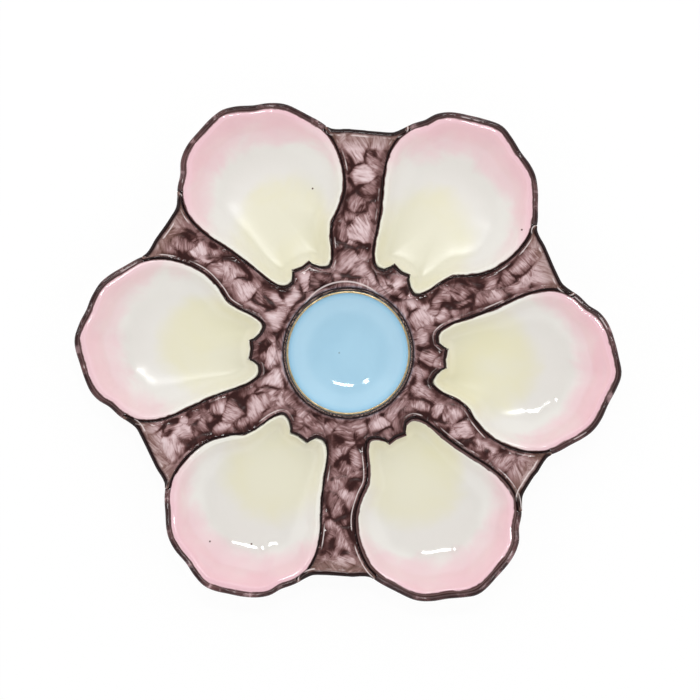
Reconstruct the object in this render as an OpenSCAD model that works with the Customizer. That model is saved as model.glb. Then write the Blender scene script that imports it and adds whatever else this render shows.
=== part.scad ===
// Oyster plate with six shell-shaped wells round a sauce well.
// Millimetres, +Z up, with the origin at the centre of the foot ring on the table.
// Every part of the glazed ware is drawn as the potter shapes it: the ground with its openings,
// the press-moulded shells, their rolled rims and hinge tabs, the sauce well and the foot ring.

/* [Plate] */
// Distance across the plate, from rim to rim over opposite wells
plate_across = 240; // [226:1:260]
// Height at which the rims stand at their outermost points
rim_height = 27; // [24:0.5:32]
// Height of the ground's surface at its lowest, next to the sauce well
ground_height = 15.5; // [14:0.5:17]
// Thickness of the ground between the wells
ground_wall = 4; // [3:0.5:5]

/* [Wells] */
// Widest distance across one well
well_width = 71; // [62:1:73]
// Thickness of the floor of a well
well_wall = 3.5; // [3:0.5:4.5]
// Height of a well's rounded lip above the ground
lip_rise = 0.8; // [0.4:0.1:1.4]
// Gap between the sauce well's collar and the hinge of each shell
hinge_gap = 2.4; // [1.5:0.1:4]

/* [Rims and hinge tabs] */
// Width of the rolled rim at the outer end of each well
rim_width = 2.3; // [1.6:0.1:3.2]
// Height of the rolled rim's crown above its edges
rim_crown = 0.9; // [0.5:0.1:1.4]
// Height of the hinge tab above the ground
tab_rise = 1.3; // [1:0.1:2]

/* [Sauce well] */
// Opening of the sauce well at its lip
cup_across = 52.8; // [46:0.2:58]
// Height of the sauce well's lip above the ground
cup_rise = 2; // [1:0.1:3]
// Thickness of the sauce well's floor
cup_wall = 3.5; // [3:0.5:4.5]
// Width of the gilt line on the lip
gilt_width = 1; // [0.6:0.1:1.6]
// Thickness of the gilt line
gilt_wall = 0.2; // [0.1:0.05:0.4]
// Width of the beaded collar round the gilt line
bead_width = 1.6; // [1.2:0.1:2.4]
// Height of the beaded collar above the lip
bead_rise = 0.9; // [0.5:0.1:1.4]

/* [Foot ring] */
// Distance across the middle of the foot ring
foot_across = 130; // [120:1:140]
// Height of the foot ring below the wells
foot_height = 5; // [4.5:0.1:6]
// Width of the foot ring where it stands on the table
foot_width = 3.4; // [2.5:0.1:5]
// How much wider the foot ring is on each side at its root
foot_flare = 1.2; // [0.6:0.1:2]

/* [Hidden] */
$fn = 96;

// Colours of the glazes and of the gilding
ground_colour = [0.47, 0.36, 0.38];
rim_colour = [0.27, 0.20, 0.21];
shell_colour = [0.90, 0.86, 0.80];
sauce_colour = [0.66, 0.82, 0.90];
gilt_colour = [0.75, 0.65, 0.47];
foot_colour = [0.88, 0.85, 0.78];

// Six wells share the turn; each was set into the plate by eye, so its angle is its own
well_count = 6;
well_angles = [-4, 56.5, 118, 177.5, 239, 299];

// Radii from the middle of the plate outwards
plate_r = plate_across / 2;
cup_r = cup_across / 2;
gilt_r = cup_r + gilt_width;
collar_r = gilt_r + bead_width;
hinge_r = collar_r + hinge_gap;
tip_r = plate_r - rim_width;
well_length = tip_r - hinge_r;
foot_r = foot_across / 2;
// How far the cutting blocks reach past the top of the plate
overrun = ground_wall;

// Section of the ground from the collar to the rims, as shares of its reach and its rise
ground_share = [[0, 0.1], [0.04, 0.05], [0.1, 0], [0.24, 0], [0.4, 0.06], [0.56, 0.17], [0.69, 0.29],
    [0.76, 0.39], [0.84, 0.54], [0.91, 0.72], [0.97, 0.9], [1, 1]];
ground_rise = rim_height - rim_crown - ground_height;
ground_line = [for (s = ground_share)
    [collar_r + s.x * (plate_r - collar_r), ground_height + s.y * ground_rise]];

// Height of the ground's surface at a distance from the middle
function ground_z(r) = lookup(r, ground_line);

// Outline of one shell, as shares of its width and length, with its hinge at the bottom.
// It starts at the left of the hinge notch, goes up the left side, round the outer end and down again.
shell_share = [[-0.104, 0.09], [-0.155, 0.087], [-0.206, 0.13], [-0.242, 0.19], [-0.27, 0.25],
    [-0.31, 0.324], [-0.366, 0.413], [-0.423, 0.499], [-0.465, 0.593], [-0.473, 0.684],
    [-0.437, 0.76], [-0.375, 0.824], [-0.33, 0.885], [-0.254, 0.932], [-0.134, 0.97],
    [0, 1], [0.092, 0.984], [0.183, 0.951], [0.282, 0.922], [0.366, 0.876],
    [0.444, 0.789], [0.51, 0.7], [0.532, 0.612], [0.513, 0.498], [0.455, 0.389],
    [0.366, 0.312], [0.289, 0.265], [0.242, 0.204], [0.197, 0.12], [0.149, 0.075],
    [0.099, 0.088]];
// Sharp edge of the hinge notch, from its right foot over both points to its left foot
notch_share = [[0.066, 0.115], [0.055, 0.138], [0, 0.13], [-0.072, 0.138], [-0.08, 0.117]];
// Where the shell's edge would run if it had no notch, for the same points
notch_root_share = [[0.062, 0.093], [0.034, 0.098], [0, 0.1], [-0.036, 0.099], [-0.07, 0.095]];
// Middle of the bowl, which all rings of a well are drawn towards
bowl_share = [0.02, 0.54];
// The rolled rim starts and ends at these two points of shell_share
rim_ends = [10, 21];
// The foot ring passes under a well's edge at these two points of shell_share
foot_crossings = [5, 25];
// Steps between two points of the outline
curve_steps = 2;

// Outer edge of the ground on the left and on the right of a well
web_left_share = [[-0.49, 0.737], [-0.521, 0.702], [-0.57, 0.677], [-0.634, 0.648]];
web_right_share = [[0.655, 0.644], [0.606, 0.664], [0.563, 0.686]];
// Edge of the hinge tab, round its inner end and closed inside the well
tab_share = [[-0.176, 0.1], [-0.165, 0.07], [-0.12, 0.04], [-0.063, 0.014], [0, 0], [0.063, 0.006],
    [0.12, 0.028], [0.16, 0.059], [0.176, 0.1], [0, 0.22]];

// Section of a well, one ring after another: distance from the bowl's middle as a share of the edge,
// height as a share, and how much of the hinge notch the ring still shows.
// Heights run from the seat to the ground's underside, over the lip, and from the floor to the lip.
under_share = [[0.46, 0, 0], [0.6, 0.08, 0], [0.74, 0.26, 0], [0.86, 0.52, 0.2], [0.95, 0.8, 0.6], [1, 1, 1]];
lip_share = [[1, -1, 1], [0.987, -0.25, 1], [0.97, 0, 1], [0.94, -0.2, 0.9]];
inner_share = [[0.905, 0.92, 0.6], [0.86, 0.72, 0.25], [0.79, 0.46, 0.05], [0.69, 0.23, 0], [0.56, 0.08, 0],
    [0.4, 0, 0]];

// Section of the rolled rim, as shares of its width from the well outwards and of its height
// below and above the ground's surface
rim_under_share = [[0, -1], [0.5, -1], [0.85, -0.85], [1, -0.5]];
rim_over_share = [[1, -0.2], [0.85, 0.55], [0.55, 1], [0.25, 0.85], [0, 0]];

// Heights of the wells and of the sauce well
well_floor_z = foot_height + well_wall;
cup_lip_z = ground_height + cup_rise;
cup_floor_z = foot_height + cup_wall;

// Section of the sauce well and steps of its curves, in degrees
cup_flat_share = 0.35;
cup_seat_share = 0.45;
cup_round_step = 9;
crown_step = 20;

function placed(share) = [share.x * well_width, hinge_r + share.y * well_length];

// A curve through the points of a list
function pick(points, i) = points[max(0, min(len(points) - 1, i))];
function curve_point(a, b, c, d, t) =
    b + t * (c - a) / 2 + t * t * (a - 2.5 * b + 2 * c - d / 2) + t * t * t * (3 * (b - c) + d - a) / 2;
function curve(points) = concat(
    [for (i = [0 : len(points) - 2]) for (s = [0 : curve_steps - 1])
        curve_point(pick(points, i - 1), points[i], points[i + 1], pick(points, i + 2), s / curve_steps)],
    [points[len(points) - 1]]);

bowl_middle = placed(bowl_share);
shell_curve = curve([for (s = shell_share) placed(s)]);
shell_edge = concat(shell_curve, [for (s = notch_share) placed(s)]);
plain_edge = concat(shell_curve, [for (s = notch_root_share) placed(s)]);
rim_start = rim_ends[0] * curve_steps;
rim_stop = rim_ends[1] * curve_steps;
rim_span = [for (i = [rim_stop : -1 : rim_start]) i];

// Point at a distance outside the shell's edge
function outward(i) = let (run = shell_edge[i + 1] - shell_edge[i - 1]) [-run.y, run.x] / norm(run);
function rim_point(i, share) = shell_edge[i] + outward(i) * share * rim_width;

// Rings of a well, drawn in from its edge towards the bowl's middle
function inset(i, s) = bowl_middle
    + (plain_edge[i] + s.z * (shell_edge[i] - plain_edge[i]) - bowl_middle) * s.x;
function edge_z(i) = ground_z(norm(shell_edge[i]));
edge_span = [for (i = [0 : len(shell_edge) - 1]) i];
function under_ring(s) = [for (i = edge_span)
    let (q = inset(i, s), top = edge_z(i) - ground_wall)
    [q.x, q.y, foot_height + s.y * (top - foot_height)]];
function lip_ring(s) = [for (i = edge_span)
    let (q = inset(i, s))
    [q.x, q.y, edge_z(i) + lip_rise + s.y * lip_rise]];
function inner_ring(s) = [for (i = edge_span)
    let (q = inset(i, s), top = edge_z(i) + lip_rise)
    [q.x, q.y, well_floor_z + s.y * (top - well_floor_z)]];
function rim_ring(i) = let (z = edge_z(i)) concat(
    [for (s = rim_under_share) let (q = rim_point(i, s.x)) [q.x, q.y, z + s.y * ground_wall]],
    [for (s = rim_over_share) let (q = rim_point(i, s.x)) [q.x, q.y, z + s.y * rim_crown]]);

// Closed skin over rings that have the same number of points each
module skin(rings) {
    n = len(rings[0]);
    last = (len(rings) - 1) * n;
    points = [for (ring = rings) each ring];
    sides = [for (j = [0 : n : last - n]) for (i = [0 : n - 1])
        let (k = (i + 1) % n)
        each [[j + i, j + k, j + n + k], [j + i, j + n + k, j + n + i]]];
    first_cap = [for (i = [n - 1 : -1 : 0]) i];
    last_cap = [for (i = [0 : n - 1]) last + i];
    polyhedron(points, concat([first_cap], sides, [last_cap]));
}

// Turns a shape drawn for the well that points along +Y to the place of well k
module at_well(k) {
    rotate([0, 0, well_angles[k - 1] - 90]) children();
}

// Solid between two lines of the plate's section, turned round the middle
module turned(lower, upper) {
    back = [for (i = [len(upper) - 1 : -1 : 0]) upper[i]];
    rotate_extrude() polygon(concat(lower, back));
}

// Straight block over the whole height of the plate
module full_height() {
    linear_extrude(rim_height + overrun) children();
}

module shell_block() {
    full_height() polygon(shell_edge);
}

// Outline of the ground: round each well's opening, then along the outer edge to the next well
function turn_to(k, points) = let (a = well_angles[k % well_count] - 90)
    [for (p = points) [p.x * cos(a) - p.y * sin(a), p.x * sin(a) + p.y * cos(a)]];
function opening_edge(k) = turn_to(k, concat(
    [for (i = [rim_stop : len(shell_edge) - 1]) shell_edge[i]],
    [for (i = [0 : rim_start]) shell_edge[i]]));
function web_edge(k) = curve(concat(
    turn_to(k, concat([rim_point(rim_start, 1)], [for (s = web_left_share) placed(s)])),
    turn_to(k + 1, concat([for (s = web_right_share) placed(s)], [rim_point(rim_stop, 1)]))));

// The ground: a dished sheet with a scalloped edge, opened for the wells and the sauce well
module plate_ground() {
    under_line = [for (p = ground_line) p - [0, ground_wall]];
    color(ground_colour) intersection() {
        turned(under_line, ground_line);
        full_height() polygon([for (k = [0 : well_count - 1]) each concat(opening_edge(k), web_edge(k))]);
    }
}

// A shell-shaped well with its rounded lip
module well(k) {
    rings = concat(
        [for (s = under_share) under_ring(s)],
        [for (s = lip_share) lip_ring(s)],
        [for (s = inner_share) inner_ring(s)]);
    color(shell_colour) at_well(k) skin(rings);
}

// The rolled rim round the outer end of a well
module well_rim(k) {
    color(rim_colour) at_well(k) skin([for (i = rim_span) rim_ring(i)]);
}

// The raised hinge of a shell, laid on the ground against the well's lip
module hinge_tab(k) {
    top_line = [for (p = ground_line) p + [0, tab_rise]];
    color(rim_colour) at_well(k) difference() {
        intersection() {
            turned(ground_line, top_line);
            full_height() polygon([for (s = tab_share) placed(s)]);
        }
        shell_block();
    }
}

// The round bowl in the middle, thrown with a straight neck that fills the ground's opening
module sauce_well() {
    neck_z = ground_line[0].y - ground_wall;
    seat_r = cup_seat_share * collar_r;
    flat_r = cup_flat_share * cup_r;
    outside = [for (a = [0 : cup_round_step : 90])
        [seat_r + (collar_r - seat_r) * sin(a), foot_height + (neck_z - foot_height) * (1 - cos(a))]];
    inside = [for (a = [90 : -cup_round_step : 0])
        [flat_r + (cup_r - flat_r) * sin(a), cup_floor_z + (cup_lip_z - cup_floor_z) * (1 - cos(a))]];
    color(sauce_colour) rotate_extrude()
        polygon(concat([[0, foot_height]], outside, [[collar_r, cup_lip_z]], inside, [[0, cup_floor_z]]));
}

// The collar round the lip, with a round crown
module cup_bead() {
    middle_r = (gilt_r + collar_r) / 2;
    crown = [for (a = [0 : crown_step : 180]) [middle_r + cos(a) * bead_width / 2, sin(a) * bead_rise]];
    color(rim_colour) translate([0, 0, cup_lip_z]) rotate_extrude() polygon(crown);
}

// The gilt line on the lip
module gilt_line() {
    color(gilt_colour) translate([0, 0, cup_lip_z]) rotate_extrude()
        translate([cup_r, 0]) square([gilt_width, gilt_wall]);
}

// Room for a well's underside in the foot ring, along one side of the well
module foot_cut(i) {
    p = shell_edge[i];
    chord = shell_edge[i + 1] - shell_edge[i - 1];
    run = chord / norm(chord);
    reach = (bowl_middle - p) * [run.y, -run.x];
    drop = edge_z(i) - ground_wall - foot_height;
    side = [for (s = under_share) [(s.x - 1) * reach, foot_height + s.y * drop]];
    translate([p.x, p.y, 0]) rotate([0, 0, atan2(run.y, run.x)]) rotate([90, 0, 90])
        linear_extrude(2 * reach, center = true)
            polygon(concat(side, [[0, rim_height], [-reach, rim_height], [-reach, foot_height]]));
}

// The foot ring, thrown on the back and cut round the undersides of the wells
module foot_ring() {
    near_r = foot_r - foot_width / 2;
    far_r = foot_r + foot_width / 2;
    root_near = near_r - foot_flare;
    root_far = far_r + foot_flare;
    radii = [for (i = [len(ground_line) - 1 : -1 : 0]) ground_line[i].x];
    bends = [for (r = radii) if (r > root_near && r < root_far) r];
    top = [for (r = concat([root_far], bends, [root_near])) [r, ground_z(r) - ground_wall]];
    color(foot_colour) difference() {
        rotate_extrude() polygon(concat([[near_r, 0], [far_r, 0]], top));
        for (k = [1 : well_count]) at_well(k)
            for (i = foot_crossings) foot_cut(i * curve_steps);
    }
}

plate_ground();
for (k = [1 : well_count]) well(k);
for (k = [1 : well_count]) well_rim(k);
for (k = [1 : well_count]) hinge_tab(k);
sauce_well();
cup_bead();
gilt_line();
foot_ring();
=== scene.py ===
# %% [markdown]
# # A glazed oyster plate
# This lesson dresses the plate's solids for a picture taken from straight above. The plate is glazed
# ware: six moulded shells, a mottled brown ground between them and a blue sauce well with a gilt line.
# Everything is made in metres in the frame of the solids, so each piece lands where its solid is. The
# noise that scatters the stones starts from a fixed seed, so every run gives the same plate.

# %% Load the frame
import math
import bmesh
import bpy
from mathutils import Matrix, Vector, kdtree, noise


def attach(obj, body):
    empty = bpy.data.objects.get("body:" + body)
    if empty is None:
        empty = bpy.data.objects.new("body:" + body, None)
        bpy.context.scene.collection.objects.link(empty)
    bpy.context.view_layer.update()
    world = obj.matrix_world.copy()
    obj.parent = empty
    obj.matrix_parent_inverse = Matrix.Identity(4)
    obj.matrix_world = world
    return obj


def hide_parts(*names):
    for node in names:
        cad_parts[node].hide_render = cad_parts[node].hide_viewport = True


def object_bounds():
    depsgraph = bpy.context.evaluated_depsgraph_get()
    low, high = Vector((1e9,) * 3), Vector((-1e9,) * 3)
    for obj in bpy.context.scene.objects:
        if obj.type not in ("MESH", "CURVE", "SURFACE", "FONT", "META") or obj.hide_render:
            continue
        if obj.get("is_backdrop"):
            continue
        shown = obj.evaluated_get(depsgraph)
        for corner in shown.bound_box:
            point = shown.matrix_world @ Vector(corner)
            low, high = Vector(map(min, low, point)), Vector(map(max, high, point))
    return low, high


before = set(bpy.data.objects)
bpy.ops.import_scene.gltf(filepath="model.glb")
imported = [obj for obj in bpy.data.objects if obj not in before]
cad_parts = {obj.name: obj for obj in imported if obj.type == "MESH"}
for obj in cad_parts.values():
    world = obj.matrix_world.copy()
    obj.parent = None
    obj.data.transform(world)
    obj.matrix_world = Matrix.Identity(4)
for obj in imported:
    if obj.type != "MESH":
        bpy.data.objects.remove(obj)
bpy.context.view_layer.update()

MM = 0.001
noise.seed_set(1)

# %% [markdown]
# ## The plate's driving sizes
# The sizes are those of the solids, in mm and degrees. Heights follow the ground, a shallow dish that
# climbs towards the rims. Its section could be an arc, but the real one lies flat near the middle and
# steepens outwards, so it is a run of points, kept as shares of its reach and of its rise.

# %% Driving sizes
WELL_WIDTH = 71
COLLAR_R = 29
HINGE_R = 31.4
TIP_R = 117.7
PLATE_R = 120
GROUND_Z = 15.5
GROUND_RISE = 10.6
GROUND_WALL = 4
FOOT_Z = 5
FLOOR_Z = 8.5
WELL_ANGLES = [-4, 56.5, 118, 177.5, 239, 299]
GROUND_SHARE = [(0, 0.1), (0.04, 0.05), (0.1, 0), (0.24, 0), (0.4, 0.06), (0.56, 0.17), (0.69, 0.29),
                (0.76, 0.39), (0.84, 0.54), (0.91, 0.72), (0.97, 0.9), (1, 1)]


def ground_z(r):
    """Height in mm of the ground's surface at a distance from the middle."""
    share = min(1, max(0, (r - COLLAR_R) / (PLATE_R - COLLAR_R)))
    for (r0, z0), (r1, z1) in zip(GROUND_SHARE, GROUND_SHARE[1:]):
        if share <= r1:
            break
    return GROUND_Z + GROUND_RISE * (z0 + (z1 - z0) * (share - r0) / (r1 - r0))


print("ground at the collar and at the rim:", round(ground_z(COLLAR_R), 1), round(ground_z(TIP_R), 1))

# %% [markdown]
# ## One outline for six shells
# The shells all come out of one mould, so one outline serves for all six. It is kept as shares of the
# shell's width and length, in the order in which the edge runs: up the left side, round the outer end,
# down the right side and over the hinge notch. The notch is cut into the lip alone, so a second, nearly
# straight run stands for the root of the shell below it.

# %% Shell outline
SHELL_SHARE = [(-0.104, 0.09), (-0.155, 0.087), (-0.206, 0.13), (-0.242, 0.19), (-0.27, 0.25),
               (-0.31, 0.324), (-0.366, 0.413), (-0.423, 0.499), (-0.465, 0.593), (-0.473, 0.684),
               (-0.437, 0.76), (-0.375, 0.824), (-0.33, 0.885), (-0.254, 0.932), (-0.134, 0.97),
               (0, 1), (0.092, 0.984), (0.183, 0.951), (0.282, 0.922), (0.366, 0.876),
               (0.444, 0.789), (0.51, 0.7), (0.532, 0.612), (0.513, 0.498), (0.455, 0.389),
               (0.366, 0.312), (0.289, 0.265), (0.242, 0.204), (0.197, 0.12), (0.149, 0.075),
               (0.099, 0.088)]
NOTCH_SHARE = [(0.066, 0.115), (0.055, 0.138), (0, 0.13), (-0.072, 0.138), (-0.08, 0.117)]
NOTCH_ROOT_SHARE = [(0.062, 0.093), (0.034, 0.098), (0, 0.1), (-0.036, 0.099), (-0.07, 0.095)]


def placed(share):
    """A point of the shell's outline in mm, for the shell that points along +Y."""
    return Vector((share[0] * WELL_WIDTH, HINGE_R + share[1] * (TIP_R - HINGE_R)))


print("shell length:", round(TIP_R - HINGE_R, 1), "points:", len(SHELL_SHARE) + len(NOTCH_SHARE))

# %% [markdown]
# ## A smooth run through the points
# The outline has few points, and the glaze leaves no corner between them. A Catmull-Rom curve passes
# through every point and is short to write, so it rounds the outline here and the sections later. Only
# the notch keeps its corners, so its points are joined by straight runs.

# %% Curve through points
EDGE_STEPS = 5
NOTCH_STEPS = 3


def curve(points, steps):
    """Catmull-Rom curve through points, which may be vectors of any length."""
    out = []
    for i in range(len(points) - 1):
        a, b = points[max(0, i - 1)], points[i]
        c, d = points[i + 1], points[min(len(points) - 1, i + 2)]
        for s in range(steps):
            t = s / steps
            out.append(b + (c - a) * (t / 2) + (a - b * 2.5 + c * 2 - d * 0.5) * (t * t)
                       + ((b - c) * 3 + d - a) * (t * t * t / 2))
    return out + [points[-1].copy()]


def straight(points, steps):
    """Straight run from point to point, without its first and last."""
    out = []
    for a, b in zip(points, points[1:]):
        out += [a.lerp(b, s / steps) for s in range(steps)]
    return out[1:]


side = curve([placed(s) for s in SHELL_SHARE], EDGE_STEPS)
notch = straight([side[-1]] + [placed(s) for s in NOTCH_SHARE] + [side[0]], NOTCH_STEPS)
notch_root = straight([side[-1]] + [placed(s) for s in NOTCH_ROOT_SHARE] + [side[0]], NOTCH_STEPS)
SHELL_EDGE = side + notch
PLAIN_EDGE = side + notch_root
EDGE_Z = [ground_z(p.length) for p in SHELL_EDGE]
print("points on the shell's edge:", len(SHELL_EDGE))

# %% [markdown]
# ## A soft step
# Wet clay and glaze go over from one form to the next without a crease. A soft step, the same curve that
# a Map Range node calls Smoothstep, blends between two values and may also run downwards.

# %% Soft step
def smooth(low, high, value):
    """Soft step from 0 at low to 1 at high."""
    t = min(1, max(0, (value - low) / (high - low)))
    return t * t * (3 - 2 * t)


print("soft step at a quarter and a half:", smooth(0, 1, 0.25), smooth(0, 1, 0.5))

# %% [markdown]
# ## Closing a shape into a piece
# Every shape below ends as a closed mesh in an object that stays at the origin. Its normals are
# recalculated, because the way in which a loop or a spin runs decides where they point, and its faces are
# shaded smooth, as glaze rounds them.

# %% New piece
def new_piece(name, bm):
    """Turns a bmesh into an object at the origin, smooth, with its faces outwards."""
    bmesh.ops.recalc_face_normals(bm, faces=bm.faces[:])
    for face in bm.faces:
        face.smooth = True
    mesh = bpy.data.meshes.new(name)
    bm.to_mesh(mesh)
    bm.free()
    obj = bpy.data.objects.new(name, mesh)
    bpy.context.scene.collection.objects.link(obj)
    return obj


print("pieces are linked to:", bpy.context.scene.collection.name)

# %% [markdown]
# ## Lofting with extruded rings
# A shell and a rim are both a stack of rings. The first ring is a loop of vertices, and each further one
# is that loop extruded and moved, so the faces come from the operator and not from a list. The ends are
# closed with one face each. A loft can also keep the place of every vertex on its piece, for the glaze.

# %% Loft
def loft(rings, place=None):
    """A bmesh skinned over closed rings of points in mm. A named place keeps x, y and the fourth value."""
    bm = bmesh.new()
    layer = bm.verts.layers.float_vector.new(place) if place else None
    verts = [bm.verts.new(p.xyz * MM) for p in rings[0]]
    edges = [bm.edges.new((a, b)) for a, b in zip(verts, verts[1:] + verts[:1])]
    bm.faces.new(verts)
    stack = [verts]
    for ring in rings[1:]:
        made = bmesh.ops.extrude_edge_only(bm, edges=edges)["geom"]
        edges = [g for g in made if isinstance(g, bmesh.types.BMEdge)]
        pairs = {}
        fresh = {g for g in made if isinstance(g, bmesh.types.BMVert)}
        for vert in fresh:
            for edge in vert.link_edges:
                other = edge.other_vert(vert)
                if other not in fresh:
                    pairs[other] = vert
        verts = [pairs[v] for v in verts]
        edges = [e for e in edges if e.verts[0] in fresh and e.verts[1] in fresh]
        for vert, p in zip(verts, ring):
            vert.co = p.xyz * MM
        stack.append(verts)
    bm.faces.new(verts)
    if place:
        for verts, ring in zip(stack, rings):
            for vert, p in zip(verts, ring):
                vert[layer] = (p[0], p[1], p[3])
    return bm


trial = loft([[Vector((x, y, z)) for x, y in ((0, 0), (1, 0), (0, 1))] for z in (0, 1)])
print("a trial loft of two triangles has faces:", len(trial.faces))
trial.free()

# %% [markdown]
# ## Turning on the wheel
# The sauce well, its gilt line and its collar are round, so their sections are spun about the plate's
# axis, as on a potter's wheel. The shells are drawn once along +Y and each is turned to its own place.

# %% Lathe and turning
def lathe(profile, steps):
    """A bmesh turned from a closed profile of (radius, height) in mm."""
    bm = bmesh.new()
    verts = [bm.verts.new((r * MM, 0, z * MM)) for r, z in profile]
    edges = [bm.edges.new((a, b)) for a, b in zip(verts, verts[1:] + verts[:1])]
    bmesh.ops.spin(bm, geom=verts + edges, axis=(0, 0, 1), cent=(0, 0, 0), angle=math.tau,
                   steps=steps, use_merge=True)
    bmesh.ops.remove_doubles(bm, verts=bm.verts[:], dist=1e-6)
    return bm


def at_well(k):
    """Turns a shape drawn along +Y to the place of well k, counted from 0."""
    return Matrix.Rotation(math.radians(WELL_ANGLES[k] - 90), 4, "Z")


print("the shells are turned by degrees:", [angle - 90 for angle in WELL_ANGLES])

# %% [markdown]
# ## Node groups for glaze
# Two effects come back in every glaze: soft clouds, where a brush or sponge laid the colour unevenly, and
# the faint waviness and pits of a fired surface, which break up reflections. Each is a small group that
# puts out only a mask or a normal, and the Principled shader stays outside.

# %% Group helper
def group(name, inputs, outputs):
    """A new shader node group with float inputs and the outputs given as (name, socket type)."""
    tree = bpy.data.node_groups.new(name, "ShaderNodeTree")
    for label, default in inputs:
        socket = tree.interface.new_socket(name=label, in_out="INPUT", socket_type="NodeSocketFloat")
        socket.default_value = default
    for label, kind in outputs:
        tree.interface.new_socket(name=label, in_out="OUTPUT", socket_type=kind)
    return tree, tree.nodes.new("NodeGroupInput"), tree.nodes.new("NodeGroupOutput")


print("groups before the first:", len(bpy.data.node_groups))

# %% Uneven brushwork
def make_clouds():
    """Mask from 0 to 1 in soft clouds, with a scale and a contrast."""
    tree, given, out = group("uneven_brushwork", [("Scale", 100), ("Low", 0.35), ("High", 0.65)],
                             [("Mask", "NodeSocketFloat")])
    where = tree.nodes.new("ShaderNodeTexCoord")
    wave = tree.nodes.new("ShaderNodeTexNoise")
    wave.inputs["Detail"].default_value = 4
    wave.inputs["Distortion"].default_value = 0.6
    span = tree.nodes.new("ShaderNodeMapRange")
    tree.links.new(where.outputs["Object"], wave.inputs["Vector"])
    tree.links.new(given.outputs["Scale"], wave.inputs["Scale"])
    tree.links.new(wave.outputs["Fac"], span.inputs["Value"])
    tree.links.new(given.outputs["Low"], span.inputs["From Min"])
    tree.links.new(given.outputs["High"], span.inputs["From Max"])
    tree.links.new(span.outputs["Result"], out.inputs["Mask"])
    return tree


CLOUDS = make_clouds()
print("group:", CLOUDS.name)

# %% Fired surface
def make_surface():
    """Normal of a fired glaze: long waves and small pits."""
    tree, given, out = group("fired_surface", [("Wave", 0.1), ("Pits", 0.02)],
                             [("Normal", "NodeSocketVector")])
    where = tree.nodes.new("ShaderNodeTexCoord")
    normal = None
    for label, scale, detail, depth in (("Wave", 60, 1, 0.002), ("Pits", 900, 2, 0.0004)):
        height = tree.nodes.new("ShaderNodeTexNoise")
        height.inputs["Scale"].default_value = scale
        height.inputs["Detail"].default_value = detail
        bump = tree.nodes.new("ShaderNodeBump")
        bump.inputs["Distance"].default_value = depth
        tree.links.new(where.outputs["Object"], height.inputs["Vector"])
        tree.links.new(height.outputs["Fac"], bump.inputs["Height"])
        tree.links.new(given.outputs[label], bump.inputs["Strength"])
        if normal:
            tree.links.new(normal, bump.inputs["Normal"])
        normal = bump.outputs["Normal"]
    tree.links.new(normal, out.inputs["Normal"])
    return tree


SURFACE = make_surface()
print("group:", SURFACE.name)

# %% [markdown]
# ## Writing colours
# The colours are named as a photo shows them, from 0 to 255, and turned into the linear values that the
# shader wants. Four browns come back in several glazes, from the pooled dark to the thin pale mauve, and
# a warm white covers the back of the plate.

# %% Colours
def tint(r, g, b):
    """Linear RGBA of a colour written from 0 to 255."""
    flat = [c / 255 for c in (r, g, b)]
    return [c / 12.92 if c <= 0.04045 else ((c + 0.055) / 1.055) ** 2.4 for c in flat] + [1]


BROWN_DARK = tint(32, 16, 16)
BROWN = tint(84, 55, 53)
MAUVE = tint(146, 113, 112)
MAUVE_PALE = tint(206, 179, 180)
# pale colour of the painted glints along the crests
GLINT_PALE = tint(228, 214, 212)
WARM_WHITE = tint(231, 228, 216)
print("dark brown, linear:", [round(c, 3) for c in BROWN_DARK[:3]])

# %% [markdown]
# ## Building a glaze
# A glaze is a coloured body under a thin clear coat, which the Principled shader gives as it is. A small
# class keeps the wiring readable: it adds nodes, mixes colours and ends in that one shader, with the
# fired surface in its normal.

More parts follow.
